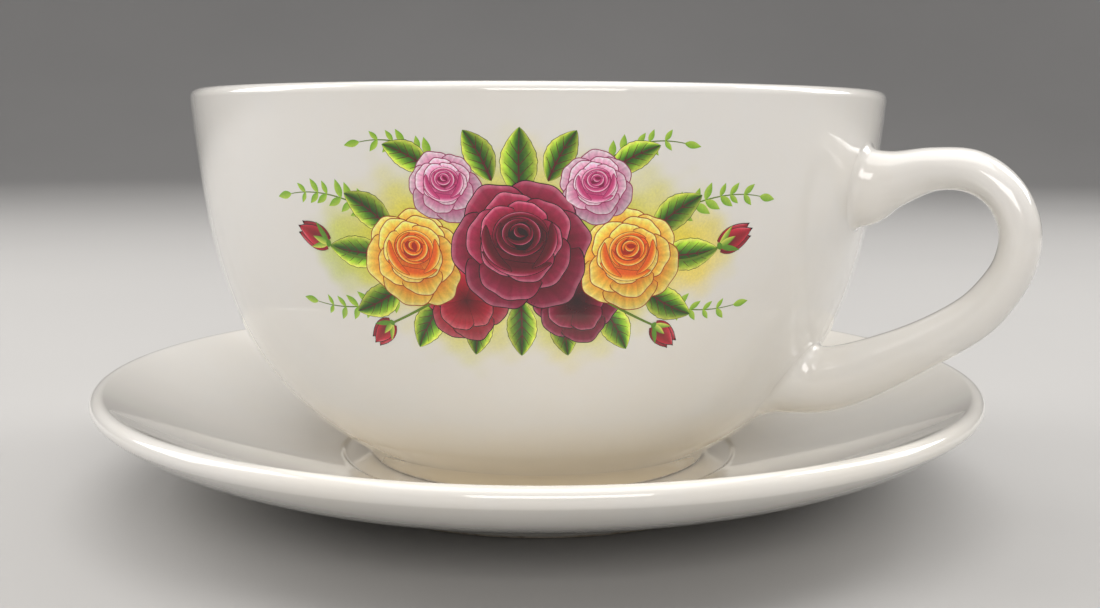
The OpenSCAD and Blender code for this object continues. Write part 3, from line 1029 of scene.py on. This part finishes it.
def lift_of(name, index):
    """How far a piece's patch lies over the glaze."""
    base, step, again = LAYERS[name]
    order = index
    if name == "print_leaves":
        order = LEAF_LAYERS[index]
    elif again:
        order = index % again
    return (base + step * order) * MICRON


def on_bowl(grid, lift):
    """The points of a patch, laid over the bowl's outside, and the bowl's normals there."""
    u, v = grid[..., 0].ravel() * MM, grid[..., 1].ravel() * MM
    angle = SPRAY_MIDDLE + u / SPRAY_R
    nr, nz = bowl_slope(v)
    r = bowl_radius(v) + lift * nr
    points = np.c_[r * np.cos(angle), r * np.sin(angle), v + lift * nz]
    return points, np.c_[nr * np.cos(angle), nr * np.sin(angle), nz]


def without_doubles(face, points):
    """A face without corners that fall on the one before, or None if nothing is left of it."""
    corners = [points[i] for i in face]
    before = corners[-1:] + corners[:-1]
    kept = [i for i, p, q in zip(face, corners, before) if np.linalg.norm(p - q) > SAME_PLACE]
    return kept if len(kept) > 2 else None


def patch_faces(grid, strength, points):
    """The faces of a patch that carry ink, turned to face outwards."""
    rows, columns = strength.shape
    rising, falling = grid[1:, 1:] - grid[:-1, :-1], grid[1:, :-1] - grid[:-1, 1:]
    clockwise = (rising[..., 0] * falling[..., 1] - rising[..., 1] * falling[..., 0]).sum() > 0
    faces = []
    for i in range(rows - 1):
        for j in range(columns - 1):
            if strength[i : i + 2, j : j + 2].max() < FAINTEST:
                continue
            a = i * columns + j
            face = without_doubles((a, a + columns, a + columns + 1, a + 1), points)
            if face:
                faces.append(face[::-1] if clockwise else face)
    return faces


def make_print():
    material = print_material()
    for name, patches in PRINT.items():
        points, normals, colours, faces = [], [], [], []
        first = 0
        for index, (grid, inks) in enumerate(patches):
            patch_points, patch_normals = on_bowl(grid, lift_of(name, index))
            points.append(patch_points)
            normals.append(patch_normals)
            colours.append(np.c_[linear(inks[..., :3].reshape(-1, 3)), inks[..., 3].ravel()])
            faces += [[first + i for i in face] for face in patch_faces(grid, inks[..., 3], patch_points)]
            first += len(patch_points)
        points, normals, colours = np.vstack(points), np.vstack(normals), np.vstack(colours)
        used = np.unique([corner for face in faces for corner in face])
        place = np.full(len(points), -1)
        place[used] = np.arange(len(used))
        faces = [[int(place[corner]) for corner in face] for face in faces]
        piece = new_mesh(name, points[used], faces, "cup", material, sharp=False)
        ink = piece.data.color_attributes.new("ink", "FLOAT_COLOR", "POINT")
        ink.data.foreach_set("color", colours[used].astype(np.float32).ravel())
        piece.data.normals_split_custom_set_from_vertices([tuple(n) for n in normals[used]])
        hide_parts("rose_transfer")


draw_spray()
make_print()

# ---------------------------------------------------------------- floor, lights and camera
STAGE_R = 1.1  # flat part of the floor
STAGE_BEND = 0.7  # radius of the bend from the floor to the wall round it
STAGE_TOP = 1.6
STAGE_SIDES = 96
STAGE_INNER = (0.05, 0.4)  # radii of the rings in the flat part
FLOOR_DARK = (0.42, 0.418, 0.412)
FLOOR_LIGHT = (0.45, 0.447, 0.44)
FLOOR_CELLS = 3.0

# The camera stands 29 degrees round from the front, a little below the level of the rim
VIEW_TURN = math.radians(29)
SENSOR = 36  # mm
LENS = 40.2545  # mm
CAMERA_BACK = 185.9 * MM
CAMERA_SIDE = 1.71 * MM
CAMERA_DROP = 5.04 * MM
CAMERA_PITCH = 0.1428
CAMERA_ROLL = 0.0038
CLIP_START = 5 * MM

LIGHT_AIM = Vector((0, 0, 30 * MM))
# Each light: its place as seen from the camera's side, its width and height, its power and its colour
LIGHTS = {
    "top": ((0.0, 0.05, 0.85), (0.9, 0.9), 6.0, (1.0, 0.97, 0.93)),
    "left": ((-0.6, 0.1, 0.45), (0.35, 0.5), 2.8, (1.0, 0.97, 0.94)),
    "right": ((0.6, 0.2, 0.5), (0.3, 0.5), 2.8, (1.0, 0.98, 0.96)),
    "front": ((0.1, -1.0, 0.55), (0.8, 0.4), 6.2, (1.0, 0.96, 0.93)),
}
WORLD_COLOUR = (0.97, 0.96, 1.0, 1)
WORLD_STRENGTH = 0.3


def turned(x, y, z):
    """A place that is given as seen from the camera's side, in the frame."""
    c, s = math.cos(VIEW_TURN), math.sin(VIEW_TURN)
    return Vector((c * x - s * y, s * x + c * y, z))


def make_stage():
    """A round floor of pale paper that bends up into a wall all round."""
    rows = [(r, 0.0) for r in STAGE_INNER]
    for a in np.linspace(0, math.pi / 2, 24):
        rows.append((STAGE_R + STAGE_BEND * math.sin(a), STAGE_BEND * (1 - math.cos(a))))
    rows.append((STAGE_R + STAGE_BEND, STAGE_TOP))
    around = np.linspace(0, 2 * math.pi, STAGE_SIDES, endpoint=False)
    points = [(r * math.cos(a), r * math.sin(a), z) for r, z in rows for a in around]
    faces = [f[::-1] for f in tube_faces(len(rows), STAGE_SIDES)]
    faces.append(tuple(range(STAGE_SIDES)))
    mesh = bpy.data.meshes.new("floor")
    mesh.from_pydata(points, [], faces)
    mesh.shade_smooth()
    floor = bpy.data.objects.new("floor", mesh)
    bpy.context.scene.collection.objects.link(floor)
    material = bpy.data.materials.new("floor_paper")
    tree, shader = nodes_of(material)
    drift = ramp(tree, noise(tree, where_socket(tree), FLOOR_CELLS), 0.3, 0.7)
    tree.links.new(mix(tree, drift, FLOOR_DARK, FLOOR_LIGHT), shader.inputs["Base Color"])
    shader.inputs["Roughness"].default_value = 0.9
    mesh.materials.append(material)


def make_camera():
    data = bpy.data.cameras.new("camera")
    data.sensor_width = SENSOR
    data.lens = LENS
    data.clip_start = CLIP_START
    camera = bpy.data.objects.new("camera", data)
    place = turned(CAMERA_SIDE, -CAMERA_BACK, RIM_Z - CAMERA_DROP)
    ahead = turned(0, math.cos(CAMERA_PITCH), -math.sin(CAMERA_PITCH))
    turn = ahead.to_track_quat("-Z", "Y").to_matrix().to_4x4()
    camera.matrix_world = Matrix.Translation(place) @ turn @ Matrix.Rotation(CAMERA_ROLL, 4, "Z")
    bpy.context.scene.collection.objects.link(camera)
    bpy.context.scene.camera = camera


def soft_light(name, place, size, power, colour):
    lamp = bpy.data.lights.new(name, "AREA")
    lamp.shape = "RECTANGLE"
    lamp.size, lamp.size_y = size
    lamp.energy = power
    lamp.color = colour
    light = bpy.data.objects.new(name, lamp)
    light.location = place
    light.rotation_euler = (LIGHT_AIM - place).to_track_quat("-Z", "Y").to_euler()
    bpy.context.scene.collection.objects.link(light)


def make_world():
    world = bpy.data.worlds.new("world")
    bpy.context.scene.world = world
    world.use_nodes = True
    background = world.node_tree.nodes["Background"]
    background.inputs["Color"].default_value = WORLD_COLOUR
    background.inputs["Strength"].default_value = WORLD_STRENGTH


make_stage()
make_camera()
for light_name, (light_place, light_size, light_power, light_colour) in LIGHTS.items():
    soft_light(light_name, turned(*light_place), light_size, light_power, light_colour)
make_world()
bpy.context.scene.view_settings.view_transform = "Standard"
